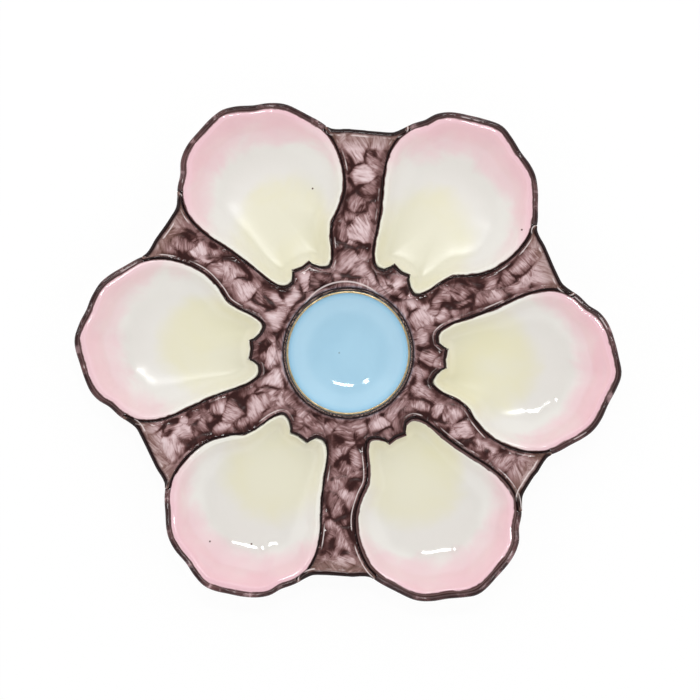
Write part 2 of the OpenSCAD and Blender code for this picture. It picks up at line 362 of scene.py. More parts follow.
# %% Glaze builder
class Glaze:
    """A material under construction, with helpers for its nodes."""

    def __init__(self, name, roughness=0.1, coat=0.35, metallic=0.0, gloss=0.5):
        self.material = bpy.data.materials.new(name)
        self.material.use_nodes = True
        self.tree = self.material.node_tree
        self.shader = self.tree.nodes["Principled BSDF"]
        self.shader.inputs["Roughness"].default_value = roughness
        self.shader.inputs["Metallic"].default_value = metallic
        self.shader.inputs["Coat Weight"].default_value = coat
        self.shader.inputs["Specular IOR Level"].default_value = gloss
        self.shader.inputs["Coat Roughness"].default_value = 0.04

    def node(self, kind, **values):
        """A node whose inputs are given by name, as sockets to link or as values."""
        made = self.tree.nodes.new(kind)
        for label, value in values.items():
            if isinstance(value, bpy.types.NodeSocket):
                self.tree.links.new(value, made.inputs[label])
            else:
                made.inputs[label].default_value = value
        return made

    def place(self):
        """Object coordinates, in metres."""
        return self.tree.nodes.new("ShaderNodeTexCoord").outputs["Object"]

    def attribute(self, name):
        """What the vertices of the piece keep under a name."""
        made = self.tree.nodes.new("ShaderNodeAttribute")
        made.attribute_name = name
        return made.outputs["Vector"]

    def parts(self, vector):
        """The three values of a vector."""
        made = self.node("ShaderNodeSeparateXYZ", Vector=vector)
        return made.outputs["X"], made.outputs["Y"], made.outputs["Z"]

    def use(self, tree, **values):
        """The first output of a shared node group."""
        made = self.tree.nodes.new("ShaderNodeGroup")
        made.node_tree = tree
        for label, value in values.items():
            made.inputs[label].default_value = value
        return made.outputs[0]

    def noise(self, vector, scale, detail, distortion=0.0):
        """Plain noise on a vector."""
        return self.node("ShaderNodeTexNoise", Vector=vector, Scale=scale, Detail=detail,
                         Distortion=distortion).outputs["Fac"]

    def math(self, operation, a, b=0.0, c=0.0):
        """One sum on sockets or values."""
        made = self.tree.nodes.new("ShaderNodeMath")
        made.operation = operation
        for socket, value in zip(made.inputs, (a, b, c)):
            if isinstance(value, bpy.types.NodeSocket):
                self.tree.links.new(value, socket)
            else:
                socket.default_value = value
        return made.outputs[0]

    def times(self, a, b):
        """Product of two masks or values."""
        return self.math("MULTIPLY", a, b)

    def span(self, value, low, high):
        """Soft step from 0 at low to 1 at high."""
        made = self.tree.nodes.new("ShaderNodeMapRange")
        made.interpolation_type = "SMOOTHSTEP"
        self.tree.links.new(value, made.inputs["Value"])
        made.inputs["From Min"].default_value = low
        made.inputs["From Max"].default_value = high
        return made.outputs["Result"]

    def ramp(self, value, stops):
        """Colour ramp through (place, colour) stops."""
        made = self.node("ShaderNodeValToRGB", Fac=value)
        marks = made.color_ramp.elements
        while len(marks) < len(stops):
            marks.new(1.0)
        for mark, (place, colour) in zip(marks, stops):
            mark.position = place
            mark.color = colour
        return made.outputs["Color"]

    def mix(self, mask, under, over):
        """A colour over another, where the mask is 1."""
        made = self.tree.nodes.new("ShaderNodeMix")
        made.data_type = "RGBA"
        self.tree.links.new(mask, made.inputs["Factor"])
        for label, value in (("A", under), ("B", over)):
            socket = [s for s in made.inputs if s.name == label and s.type == "RGBA"][0]
            if isinstance(value, bpy.types.NodeSocket):
                self.tree.links.new(value, socket)
            else:
                socket.default_value = value
        return [s for s in made.outputs if s.type == "RGBA"][0]

    def blend(self, label, mask, low, high):
        """Lets an input of the shader run from low, where the mask is 0, to high, where it is 1."""
        value = self.math("MULTIPLY_ADD", mask, high - low, low)
        self.tree.links.new(value, self.shader.inputs[label])

    def finish(self, colour, wave=0.1, pits=0.02):
        """Ends the glaze with its colour and its fired surface."""
        self.tree.links.new(colour, self.shader.inputs["Base Color"])
        normal = self.use(SURFACE, Wave=wave, Pits=pits)
        self.tree.links.new(normal, self.shader.inputs["Normal"])
        return self.material


print("helpers of a glaze:", [name for name in vars(Glaze) if not name.startswith("_")])

# %% [markdown]
# ## The colours inside a shell
# The decorator laid soft colours over white: pink along the outer end and cream from the bowl to the hinge.
# Beside the lip, towards the hinge, a paler band is a painted highlight. They follow the shell and not the
# room, so the masks read the place that each vertex keeps of itself: across and along the shell, and the
# distance from its edge, in mm.
# Pink and cream each fade over an oval, which only counts its width on the side of the hinge.

# %% Pink and cream
PINK_MIDDLE, PINK_REACH = (2, 71), (34, 32.5)
CREAM_MIDDLE, CREAM_REACH = (1, 62), (23, 23)


def half_oval(glaze, across, along, middle, reach, drift):
    """Distance from an oval's middle in shares of its reach, unevenly by a drift."""
    x = glaze.math("DIVIDE", glaze.math("SUBTRACT", across, middle[0]), reach[0])
    y = glaze.math("DIVIDE", glaze.math("SUBTRACT", along, middle[1]), reach[1])
    y = glaze.math("MAXIMUM", y, 0.0)
    square = glaze.math("MULTIPLY_ADD", x, x, glaze.times(y, y))
    return glaze.math("ADD", glaze.math("SQRT", square), drift)


def shell_colour(glaze, across, along, edge, pink_strength):
    """White glaze with its pink, its cream and a painted highlight beside the lip."""
    drift = glaze.math("MULTIPLY_ADD", glaze.use(CLOUDS, Scale=60, Low=0.3, High=0.7), 0.2, -0.1)
    near = half_oval(glaze, across, along, CREAM_MIDDLE, CREAM_REACH, drift)
    cream = glaze.math("SUBTRACT", 1.0, glaze.span(near, 0.65, 1.15))
    warm = glaze.times(cream, glaze.use(CLOUDS, Scale=30, Low=0.45, High=0.7))
    far = half_oval(glaze, across, along, PINK_MIDDLE, PINK_REACH, drift)
    pink = glaze.math("MULTIPLY_ADD", glaze.span(far, 0.8, 1.06), 0.66,
                      glaze.times(glaze.span(far, 1.0, 1.3), 0.34))
    pink = glaze.times(glaze.times(pink, glaze.span(along, 62, 82)), pink_strength)
    # painted highlight: a pale band just inside the lip, towards the hinge
    painted_lip_highlight = glaze.times(glaze.span(edge, 4.5, 1.0), glaze.span(along, 92, 60))
    colour = glaze.mix(cream, tint(229, 227, 221), tint(228, 225, 204))
    colour = glaze.mix(warm, colour, tint(228, 224, 193))
    colour = glaze.mix(pink, colour, tint(233, 190, 199))
    return glaze.mix(glaze.times(painted_lip_highlight, 0.4), colour, tint(233, 231, 217))


print("pink reaches from", PINK_MIDDLE, "by", PINK_REACH, "mm, cream from", CREAM_MIDDLE, "by", CREAM_REACH)

# %% [markdown]
# ## Brown over the edge and specks of the kiln
# The brown of the rim laps over the edge in a ragged line, by an amount that differs from shell to shell,
# and runs thin at the outer end. Now and then a grain of iron in the kiln leaves a dark speck, so a few
# shells have one or two, each given in the shell's own mm.

# %% Lap and specks
SPECK_SQUARE = (0.24, 0.08)


def lapped(glaze, colour, along, edge, brown_lap):
    """The brown of the rim over a colour, up to a distance in mm from the edge."""
    ragged = glaze.math("MULTIPLY_ADD", glaze.use(CLOUDS, Scale=160, Low=0.3, High=0.7), 0.7, brown_lap)
    lap = glaze.span(glaze.math("SUBTRACT", ragged, edge), -0.3, 0.3)
    thick = glaze.math("SUBTRACT", 1.0, glaze.times(glaze.span(along, 88, 98), 0.75))
    thin = tint(124, 94, 93) if brown_lap < 1 else BROWN
    return glaze.mix(lap, colour, glaze.mix(thick, thin, BROWN))


def speck(glaze, across, along, place):
    """Mask of one dark speck, which ends between two squares of its radius in mm."""
    x = glaze.math("SUBTRACT", across, place[0])
    y = glaze.math("SUBTRACT", along, place[1])
    return glaze.span(glaze.math("MULTIPLY_ADD", x, x, glaze.times(y, y)), *SPECK_SQUARE)


print("a speck is mm across:", round(2 * math.sqrt(SPECK_SQUARE[0]), 2))

# %% [markdown]
# ## The shells' glazes
# Each shell gets a glaze of its own, because the six were painted and fired a little differently. Towards
# the hinge the glaze has turned satin, so the roughness rises and the clear coat goes over a stretch of
# the shell. Roughness stays at 0.25 or less: above about 0.27 the render's denoiser treats the glaze
# differently, and a line shows where it crosses that value. The back is plain warm white, and its
# vertices say so with a negative distance from the edge.

# %% Shell glazes
GLOSSY, SATIN = 0.07, 0.25
SHELL_COAT = 0.35
# brown lap in mm, strength of the pink, specks, where the satin ends and is full in mm, gloss
SHELL_LOOKS = [(0.25, 0.97, [], (84, 68), 0.5),
               (0.2, 0.92, [(33.8, 87.4)], (112, 84), 0.35),
               (0.3, 0.92, [(20.3, 71.9)], (112, 84), 0.3),
               (0.15, 0.85, [], (106, 84), 0.45),
               (-0.1, 0.95, [(9.5, 103.1), (-6.9, 94.9)], (84, 62), 0.5),
               (1.1, 0.92, [], (84, 62), 0.5)]


def shell_glaze(name, brown_lap, pink_strength, specks, satin_span, gloss):
    glaze = Glaze(name, gloss=gloss)
    across, along, edge = glaze.parts(glaze.attribute("shell_place"))
    colour = shell_colour(glaze, across, along, edge, pink_strength)
    colour = lapped(glaze, colour, along, edge, brown_lap)
    for place in specks:
        colour = glaze.mix(speck(glaze, across, along, place), colour, BROWN)
    colour = glaze.mix(glaze.span(edge, -1.0, -4.0), colour, WARM_WHITE)
    satin = glaze.span(along, *satin_span)
    glaze.blend("Roughness", satin, GLOSSY, SATIN)
    glaze.blend("Coat Weight", satin, SHELL_COAT, 0.0)
    return glaze.finish(colour, wave=0.05, pits=0.01)


shell_glazes = [shell_glaze("shell_glaze_%d" % (k + 1), *look) for k, look in enumerate(SHELL_LOOKS)]
print("shell glazes:", len(shell_glazes))

# %% [markdown]
# ## A shell's section
# Each shell is a bowl with a rolled lip, pressed in a mould. Its rings are the outline drawn in towards
# the bowl's middle: up the back, over the lip and down to the floor. Each row of the section holds how far
# out the ring lies, its height as a share of its wall, and how much of the notch it still has. The solid
# has the same rows; here a curve runs through them, so the glaze has no facet to catch the light. By the
# hinge the wall is steeper, as the finger presses it there, and the shelf has faint dents of its own.

# %% Shell section
BOWL_SHARE = (0.02, 0.54)
BACK_ROWS = [(0.46, 0, 0), (0.6, 0.08, 0), (0.74, 0.26, 0), (0.86, 0.52, 0.2), (0.95, 0.8, 0.6), (1, 1, 1)]
LIP_ROWS = [(1, -1, 1), (0.987, -0.25, 1), (0.97, 0, 1), (0.94, -0.2, 0.9)]
INNER_ROWS = [(0.905, 0.92, 0.6), (0.86, 0.72, 0.25), (0.79, 0.46, 0.05), (0.69, 0.23, 0), (0.56, 0.08, 0),
              (0.4, 0.02, 0), (0.2, 0, 0), (0.03, 0, 0)]
BACK_STEPS, ROW_STEPS = 2, 4
LIP_RISE = 0.8
HINGE_WALL = 20
DENT_SCALE, DENT_DEPTH, DENT_MIDDLE = 0.075, 1.1, -0.15
FAR = 9
BOWL = placed(BOWL_SHARE)


def drawn_in(i, row):
    """Point i of the edge drawn in by a row of the section, and its distance from the edge, in mm."""
    start = PLAIN_EDGE[i].lerp(SHELL_EDGE[i], row[2])
    reach = (start - BOWL).length
    steep = smooth(5, -25, start.y - BOWL.y) * smooth(1, 0.9, row[0]) * smooth(0.2, 0.6, row[0])
    share = row[0] + (1 - row[0]) * (1 - min(1, HINGE_WALL / reach)) * steep
    return BOWL + (start - BOWL) * share, (1 - share) * reach


def shell_column(i, own):
    """Points of the shell's section over point i of its edge, with dents of the shell's own on its shelf."""
    back_top = EDGE_Z[i] - GROUND_WALL
    lip = EDGE_Z[i] + LIP_RISE
    dent = noise.noise(SHELL_EDGE[i].to_3d() * DENT_SCALE + Vector((0, 0, own))) * DENT_DEPTH + DENT_MIDDLE
    back, front = [], []
    for row in BACK_ROWS:
        q = BOWL + (PLAIN_EDGE[i].lerp(SHELL_EDGE[i], row[2]) - BOWL) * row[0]
        back.append(Vector((q.x, q.y, FOOT_Z + row[1] * (back_top - FOOT_Z), -FAR)))
    for row in LIP_ROWS:
        q, away = drawn_in(i, row)
        front.append(Vector((q.x, q.y, lip + row[1] * LIP_RISE, away)))
    for row in INNER_ROWS:
        q, away = drawn_in(i, row)
        on_shelf = smooth(0.62, 0.8, row[0]) * smooth(0.95, 0.88, row[0])
        front.append(Vector((q.x, q.y, FLOOR_Z + row[1] * (lip - FLOOR_Z) + dent * on_shelf, away)))
    return curve(back, BACK_STEPS) + curve(front, ROW_STEPS)


print("rings of a shell:", len(shell_column(0, 0)))

# %% [markdown]
# ## The six shells
# The loft stacks the rings, and a few rounds of smoothing take the last creases out of the bowl. They move
# the vertices in height alone, so the outline and the painted places stay. Then each shell is turned to
# its own angle with a transform on its mesh, and takes the place of the solid well.

# %% Shells
SOFT_FROM, SOFT_ROUNDS = 2.5, 28
OWN_SHELL = 5.3

for k in range(6):
    columns = [shell_column(i, k * OWN_SHELL) for i in range(len(SHELL_EDGE))]
    bm = loft([[column[j] for column in columns] for j in range(len(columns[0]))], "shell_place")
    place = bm.verts.layers.float_vector["shell_place"]
    bowl = [v for v in bm.verts if v[place].z > SOFT_FROM]
    for turn in range(SOFT_ROUNDS):
        bmesh.ops.smooth_vert(bm, verts=bowl, factor=0.5, use_axis_z=True)
    bmesh.ops.transform(bm, matrix=at_well(k), verts=bm.verts[:])
    shell = new_piece("shell_%d" % (k + 1), bm)
    shell.data.materials.append(shell_glazes[k])
    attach(shell, "root")
    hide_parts("well_%d" % (k + 1))
print("shell faces:", len(shell.data.polygons))

# %% [markdown]
# ## The rims' brown glaze
# The brown is one glaze over the rims, the tabs and the ground. On a rim it lies dark, with mauve clouds
# where it is thinner, and it is thinnest on the inner side. Here and there a fine pale line is painted
# along the crest as a glint of the lamps. The clear coat is weak, because a strong one turns dark colours
# grey.

# %% Rim glaze
def glint_line(glaze, distance, middle, width):
    """Mask of a thin line at a distance, painted pale as the glint of the lamps on a crest."""
    away = glaze.math("ABSOLUTE", glaze.math("SUBTRACT", distance, middle))
    return glaze.span(away, width, width * 0.3)


def rim_glaze():
    glaze = Glaze("rim_glaze", roughness=0.08, coat=0.2, gloss=0.25)
    clouds = glaze.use(CLOUDS, Scale=90, Low=0.45, High=0.7)
    thin = glaze.use(CLOUDS, Scale=230, Low=0.53, High=0.66)
    broken = glaze.use(CLOUDS, Scale=95, Low=0.6, High=0.66)
    out = glaze.parts(glaze.attribute("rim_place"))[2]
    # painted glint: a broken pale line along the rim's crest
    line = glaze.times(glint_line(glaze, out, 0.3, 0.16), broken)
    colour = glaze.mix(clouds, tint(46, 26, 27), tint(104, 73, 73))
    colour = glaze.mix(glaze.times(thin, clouds), colour, tint(196, 164, 167))
    colour = glaze.mix(glaze.times(glaze.span(out, 0.6, 0.0), 0.3), colour, tint(140, 110, 108))
    colour = glaze.mix(glaze.times(line, 0.55), colour, tint(230, 216, 216))
    return glaze.finish(colour, wave=0.8, pits=0.3)


RIM_GLAZE = rim_glaze()
print("glaze:", RIM_GLAZE.name)

# %% [markdown]
# ## The rolled rims
# Round the outer end of each shell the clay is rolled over into a soft bead. It is a second loft: the
# section stands square to the outline, runs along it and sits against the shell's side. Fingers leave such
# a bead uneven, so a little noise pinches its width and its height.

# %% Rims
RIM_FIRST, RIM_LAST = 10, 21
RIM_WIDTH = 2.3
RIM_CROWN = 0.9
PINCH_SCALE, PINCH_GAIN = 0.13, 2.2
OWN_RIM = 7.7
RIM_SECTION = [(0, -1, 0), (0.5, -1, 0), (0.85, -0.85, 0), (1, -0.5, 0), (1, -0.2, 1), (0.93, 0.3, 1),
               (0.8, 0.68, 1), (0.62, 0.93, 1), (0.42, 0.98, 1), (0.2, 0.78, 1), (0, 0.1, 1)]


def pinch(spot):
    """Unevenness from -1 to 1 that changes slowly along the rim."""
    return min(1, max(-1, PINCH_GAIN * noise.noise(spot)))


def rim_ring(i, own):
    """The rim's section at point i of the edge, pinched unevenly by an amount of its own."""
    run = SHELL_EDGE[i + 1] - SHELL_EDGE[i - 1]
    outward = Vector((-run.y, run.x)).normalized()
    spot = SHELL_EDGE[i].to_3d() * PINCH_SCALE + Vector((0, 0, own))
    width = RIM_WIDTH * (0.95 + 0.05 * pinch(spot))
    crown = RIM_CROWN * (0.68 + 0.3 * pinch(spot * 1.7))
    ring = []
    for out, high, over in RIM_SECTION:
        q = SHELL_EDGE[i] + outward * (out * width)
        z = EDGE_Z[i] + high * (crown if over else GROUND_WALL)
        ring.append(Vector((q.x, q.y, z, out if over else FAR)))
    return ring


for k in range(6):
    rings = [rim_ring(i, k * OWN_RIM) for i in range(RIM_FIRST * EDGE_STEPS, RIM_LAST * EDGE_STEPS + 1)]
    bm = loft(rings, "rim_place")
    bmesh.ops.transform(bm, matrix=at_well(k), verts=bm.verts[:])
    rim = new_piece("rolled_rim_%d" % (k + 1), bm)
    rim.data.materials.append(RIM_GLAZE)
    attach(rim, "root")
    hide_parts("well_rim_%d" % (k + 1))
print("rim faces:", len(rim.data.polygons))

# %% [markdown]
# ## Brush marks on the ground
# The ground was dabbed stone by stone with a stiff brush, and its hairs left streaks. Noise that is
# stretched along the stroke gives them: the object's x and y are turned by the way in which the brush
# went over that stone, which the vertices keep, and the length is squeezed. A coarse noise makes the
# streaks and a fine one the hairs.

# %% Brush streaks
STROKE_SQUEEZE = 0.22
STREAK_SCALE, HAIR_SCALE = 560, 1500


def brush_streaks(glaze, tone, cosine, sine):
    """Streaks round 0 along each stone's own stroke."""
    x, y = glaze.parts(glaze.place())[:2]
    along = glaze.math("MULTIPLY_ADD", x, cosine, glaze.times(y, sine))
    across = glaze.math("SUBTRACT", glaze.times(y, cosine), glaze.times(x, sine))
    stroke = glaze.node("ShaderNodeCombineXYZ", X=glaze.times(along, STROKE_SQUEEZE), Y=across,
                        Z=glaze.times(tone, 0.1)).outputs["Vector"]
    streak = glaze.noise(stroke, STREAK_SCALE, 4, 1.4)
    hairs = glaze.noise(stroke, HAIR_SCALE, 2, 0.6)
    return glaze.math("SUBTRACT", glaze.math("MULTIPLY_ADD", hairs, 0.35, streak), 0.675)


print("a streak is about so many times longer than wide:", round(1 / STROKE_SQUEEZE, 1))

# %% [markdown]
# ## Light and dark stones
# One value says how thin the glaze lies, and a colour ramp turns it into brown, mauve and pale mauve. A
# stone's own tone and its streaks raise or lower it, and it sinks between the stones, along the wells and
# by the collar, where glaze pools. The outer end of each web is browner, and a dark line runs round it.

# %% Stone colours
def stone_colour(glaze, streak, end):
    """Brown to pale mauve by how thin the glaze lies."""
    hollow, tone, own = glaze.parts(glaze.attribute("stone"))
    inner, outer, to_collar = glaze.parts(glaze.attribute("edges"))
    by_well = glaze.span(glaze.math("MULTIPLY_ADD", streak, -4.0, inner), 5.0, 0.9)
    by_collar = glaze.span(to_collar, 4.5, 0.8)
    thin = glaze.math("MULTIPLY_ADD", glaze.use(CLOUDS, Scale=150, Low=0.3, High=0.7), 0.3, 0.4)
    for mask, gain in ((tone, 0.32), (streak, 1.0), (hollow, -0.55), (by_well, -0.42), (end, -0.1),
                       (by_collar, -0.22)):
        thin = glaze.math("MULTIPLY_ADD", mask, gain, thin)
    colour = glaze.ramp(thin, [(0, tint(54, 32, 31)), (0.24, BROWN), (0.48, MAUVE), (0.74, MAUVE_PALE),
                               (1, tint(226, 206, 208))])
    worn = glaze.mix(glaze.math("MULTIPLY_ADD", streak, 1.2, 0.5), tint(84, 56, 48), tint(150, 120, 106))
    colour = glaze.mix(glaze.times(end, 0.5), colour, worn)
    line = glaze.math("MINIMUM", glaze.math("MULTIPLY_ADD", own, 0.4, inner), glaze.times(outer, 0.5))
    return glaze.mix(glaze.span(line, 1.3, 0.7), colour, BROWN_DARK)


print("the ramp runs from", [round(c, 3) for c in tint(54, 32, 31)[:3]])

# %% [markdown]
# ## Painted glints on the crests
# Where the ground rises to a sharp crest, a pale line is painted into the colour as the glint of the lamps
# on it. There are three kinds: broken lines along the wells, broken lines inside the outer edge, and one
# thin arc over the top of the sauce well. Each is a narrow mask at a distance, broken up by clouds.

# %% Painted glint lines
ARC_MIDDLE, ARC_R = Vector((-1.2, 10.5, 0)), 21


def painted_glint_lines(glaze):
    """Mask of the painted glint lines along the wells, inside the outer edge and over the sauce well."""
    inner, outer, to_collar = glaze.parts(glaze.attribute("edges"))
    x, y = glaze.parts(glaze.place())[:2]
    lines = glaze.times(glint_line(glaze, inner, 1.9, 0.36), glaze.use(CLOUDS, Scale=52, Low=0.52, High=0.58))
    lines = glaze.times(lines, glaze.span(to_collar, 7, 12))
    outer_lines = glaze.times(glint_line(glaze, outer, 2.8, 0.4),
                              glaze.use(CLOUDS, Scale=110, Low=0.46, High=0.54))
    u = glaze.math("MULTIPLY_ADD", x, 1 / MM, -ARC_MIDDLE.x)
    v = glaze.math("MULTIPLY_ADD", y, 1 / MM, -ARC_MIDDLE.y)
    from_middle = glaze.math("SQRT", glaze.math("MULTIPLY_ADD", u, u, glaze.times(v, v)))
    arc = glaze.times(glint_line(glaze, from_middle, ARC_R, 0.5), glaze.span(to_collar, 4.5, 3.5))
    return glaze.math("MAXIMUM", glaze.math("MAXIMUM", lines, arc), outer_lines)


print("the arc has a radius of", ARC_R, "mm round", tuple(ARC_MIDDLE.xy))

# %% [markdown]
# ## The ground's glaze
# The stones, the painted glint lines and a plain warm white underside are mixed into one glaze. The smooth
# bands along the edges shine more than the stones, so roughness and clear coat follow the bands.

# %% Ground glaze
ROUGH_STONE, SMOOTH_BAND = 0.25, 0.08
BAND_COAT = 0.25


def ground_glaze():
    glaze = Glaze("ground_glaze", gloss=0.07)
    tone = glaze.parts(glaze.attribute("stone"))[1]
    inner, outer, to_collar = glaze.parts(glaze.attribute("edges"))
    cosine, sine, under = glaze.parts(glaze.attribute("brush_stroke"))
    streak = brush_streaks(glaze, tone, cosine, sine)
    colour = stone_colour(glaze, streak, glaze.span(outer, 10.0, 3.0))
    # painted glints: pale lines along the crests, laid into the colour
    colour = glaze.mix(glaze.times(painted_glint_lines(glaze), 0.75), colour, GLINT_PALE)
    colour = glaze.mix(under, colour, WARM_WHITE)
    on_band = glaze.math("MAXIMUM", glaze.span(inner, 3.6, 2.2), glaze.span(outer, 4.0, 2.4))
    glaze.blend("Roughness", on_band, ROUGH_STONE, SMOOTH_BAND)
    glaze.blend("Coat Weight", on_band, 0.0, BAND_COAT)
    return glaze.finish(colour, wave=0.05, pits=0.02)


GROUND_GLAZE = ground_glaze()
print("glaze:", GROUND_GLAZE.name, "nodes:", len(GROUND_GLAZE.node_tree.nodes))

# %% [markdown]
# ## Softening a solid into clay
# The ground and the tabs are cut solids with sharp edges. Bevels would fail on so many short edges, so a
# voxel remesh turns a copy of the solid into an even skin of small squares, which rounds its edges as
# glaze does and gives the relief its vertices. The solid's mesh is loose triangles, so the copy is merged
# first, and the solid itself isn't touched.

# %% Softened copies
def softened(node, name, voxel):
    """An evenly meshed copy of a solid, as a bmesh."""
    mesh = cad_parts[node].data.copy()
    bm = bmesh.new()
    bm.from_mesh(mesh)
    bmesh.ops.remove_doubles(bm, verts=bm.verts[:], dist=1e-6)
    bm.to_mesh(mesh)
    bm.free()
    temporary = bpy.data.objects.new(name + "_rough", mesh)
    bpy.context.scene.collection.objects.link(temporary)
    remesh = temporary.modifiers.new("even", "REMESH")
    remesh.mode = "VOXEL"
    remesh.voxel_size = voxel * MM
    graph = bpy.context.evaluated_depsgraph_get()
    made = bpy.data.meshes.new_from_object(temporary.evaluated_get(graph))
    bm = bmesh.new()
    bm.from_mesh(made)
    bpy.data.objects.remove(temporary)
    bpy.data.meshes.remove(mesh)
    bpy.data.meshes.remove(made)
    return bm


print("the ground's solid has triangles:", len(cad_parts["plate_ground"].data.polygons))

# %% [markdown]
# ## How far from an edge
# The relief and the glaze both follow the ground's edges: the shells on the inside and the free edge of
# each web on the outside. Distances to a curve are costly to work out, so the curves are filled with
# points, and a search tree finds the nearest one for each vertex.

# %% Edges of the ground
WEB_LEFT_SHARE = [(-0.49, 0.737), (-0.521, 0.702), (-0.57, 0.677), (-0.634, 0.648)]
WEB_RIGHT_SHARE = [(0.655, 0.644), (0.606, 0.664), (0.563, 0.686)]
WEB_STEPS = 8
FILL_STEPS = 2


def nearest_to(points):
    """Search tree over points in mm."""
    tree = kdtree.KDTree(len(points))
    for i, p in enumerate(points):
        tree.insert(p, i)
    tree.balance()
    return tree


def web_edge(k):
    """Outer edge of the ground from well k to the next one, in mm."""
    after = (k + 1) % len(WELL_ANGLES)
    left = [at_well(k) @ placed(s).to_3d() for s in WEB_LEFT_SHARE]
    right = [at_well(after) @ placed(s).to_3d() for s in WEB_RIGHT_SHARE]
    return curve(left + right, WEB_STEPS)


shell_points = [at_well(k) @ p.to_3d() for k in range(6) for p in curve(SHELL_EDGE, FILL_STEPS)]
WELL_EDGES = nearest_to(shell_points)
WEB_EDGES = nearest_to([p for k in range(6) for p in web_edge(k)])
print("points along the shells:", len(shell_points))

# %% [markdown]
# ## Cobbles
# The ground is modelled like wet rock, with cobbles 6 to 10 mm across. They could be set one by one, but
# cell noise scatters them at once: the nearest of its points is the cobble, and the gap between the two
# nearest distances falls to nothing at its border. Each cobble gets a tone, a tilt and the way in which
# the brush went over it, from noise at its own point.

# %% Cobbles
COBBLE = 9.5
COBBLE_DRIFT = 0.45


def cobble(p):
    """Height from 0 to 1 on its cobble, the line round it, its tone, the tilt of its top and its own turn."""
    spot = p / COBBLE + noise.noise_vector(p * 0.11) * COBBLE_DRIFT
    distances, sites = noise.voronoi(spot)
    site = sites[0]
    gap = distances[1] - distances[0]
    tone = noise.noise(site * 7.3) * 1.1 + 0.5
    turn = noise.noise(site * 3.1) * math.tau
    tilt = (spot - site).dot(Vector((math.cos(turn), math.sin(turn), 0)))
    return smooth(0.0, 0.6, gap), smooth(0.16, 0.02, gap), min(1, max(0, tone)), tilt, turn


print("the cobble at the plate's middle:", [round(v, 2) for v in cobble(Vector((0, 0, 0)))])

# %% [markdown]
# ## Relief
# Several low forms are laid over the softened solid, together at most 1.25 mm high: the cobbles, a
# rolled band along the shells, a wider one inside the outer edge and a small one round the collar. A thin
# arc over the sauce well shows where it is higher than these. One function works the height out for a
# point, so it can be tried before it moves a vertex.

# %% Height of the relief
COBBLE_RISE = 0.8
BAND_WIDTH, BAND_RISE = 2.6, 0.55
OUTER_BAND, OUTER_RISE = 3.4, 0.7
COLLAR_BAND, COLLAR_RISE = 1.6, 0.5
ARC_WIDTH, ARC_RISE, ARC_END = 1.5, 0.7, 4
FINE_RISE = 0.1


def rolled(distance, width, rise):
    """Height of a rolled band at a distance from its edge."""
    return math.sin(math.pi * min(1, max(0, distance / width))) * rise


def relief(p, inner, outer, to_collar):
    """Height that the relief adds at a point, how deep it lies between cobbles, its tone and its turn."""
    flat = Vector((p.x, p.y, 0))
    border, crack, tone, tilt, turn = cobble(flat)
    width = BAND_WIDTH * (0.62 + 0.75 * noise.noise(flat * 0.045))
    clear = smooth(width * 0.9, width * 1.6, inner) * smooth(1.5, 4, outer) * smooth(0.5, 2.2, to_collar)
    calm = 1 - 0.65 * smooth(12, 5, outer)
    open_border = smooth(-0.25, 0.35, noise.noise(flat * 0.16))
    rock = (border * 0.5 + 0.5 * border * open_border + tilt * 0.5 + tone * 0.2) * COBBLE_RISE * calm
    rock += noise.noise(p * 0.4) * FINE_RISE
    bands = rolled(inner, width, BAND_RISE) + rolled(outer, OUTER_BAND, OUTER_RISE)
    lift = rock * clear + bands * smooth(0, 1.5, to_collar) + rolled(to_collar, COLLAR_BAND, COLLAR_RISE)
    off_arc = abs((flat - ARC_MIDDLE).length - ARC_R)
    arc = smooth(ARC_WIDTH, 0, off_arc) * ARC_RISE if to_collar < ARC_END else 0
    hollow = (0.7 * (1 - border) + 0.8 * crack) * (0.25 + 0.75 * open_border) * clear * calm
    return max(lift, arc), hollow, tone, turn


print("a rolled band is highest in its middle:", rolled(BAND_WIDTH / 2, BAND_WIDTH, BAND_RISE))

# %% [markdown]
# ## Raising the ground
# Only upward faces rise, so the walls and the underside stay with the solid. Each vertex then keeps what
# the glaze has to know: how deep it lies between the cobbles, the stone's tone, a slow unevenness, the
# distances from the edges, the brush's way and whether it looks down.

# %% Ground
GROUND_VOXEL = 0.62


def shape_ground(bm):
    """Raises the relief on the upward faces and stores what each vertex is."""
    stone = bm.verts.layers.float_vector.new("stone")
    edges = bm.verts.layers.float_vector.new("edges")
    brush = bm.verts.layers.float_vector.new("brush_stroke")
    bm.normal_update()
    for vert in bm.verts:
        p = vert.co / MM
        flat = Vector((p.x, p.y, 0))
        inner = WELL_EDGES.find(flat)[2]
        outer = WEB_EDGES.find(flat)[2]
        to_collar = p.xy.length - COLLAR_R
        lift, hollow, tone, turn = relief(p, inner, outer, to_collar)
        vert.co.z += lift * smooth(0.3, 0.9, vert.normal.z) * MM
        vert[stone] = (hollow, tone, noise.noise(flat * 0.09))
        vert[edges] = (inner, outer, to_collar)
        vert[brush] = (math.cos(turn), math.sin(turn), smooth(-0.2, -0.7, vert.normal.z))
    return bm


ground = new_piece("ground", shape_ground(softened("plate_ground", "ground", GROUND_VOXEL)))
ground.data.materials.append(GROUND_GLAZE)
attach(ground, "root")
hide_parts("plate_ground")
print("ground faces:", len(ground.data.polygons))

# %% [markdown]
# ## The hinge tabs
# Each shell ends in a raised tab with two sharp points, a copy of the hinge of a real oyster. The tabs
# take the same relief and glaze as the ground, on a finer skin that keeps their points.

# %% Hinge tabs
TAB_VOXEL = 0.35

for k in range(6):
    tab = new_piece("tab_%d" % (k + 1), shape_ground(softened("hinge_tab_%d" % (k + 1), "tab", TAB_VOXEL)))
    tab.data.materials.append(GROUND_GLAZE)
    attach(tab, "root")
    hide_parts("hinge_tab_%d" % (k + 1))
print("tab faces:", len(tab.data.polygons))
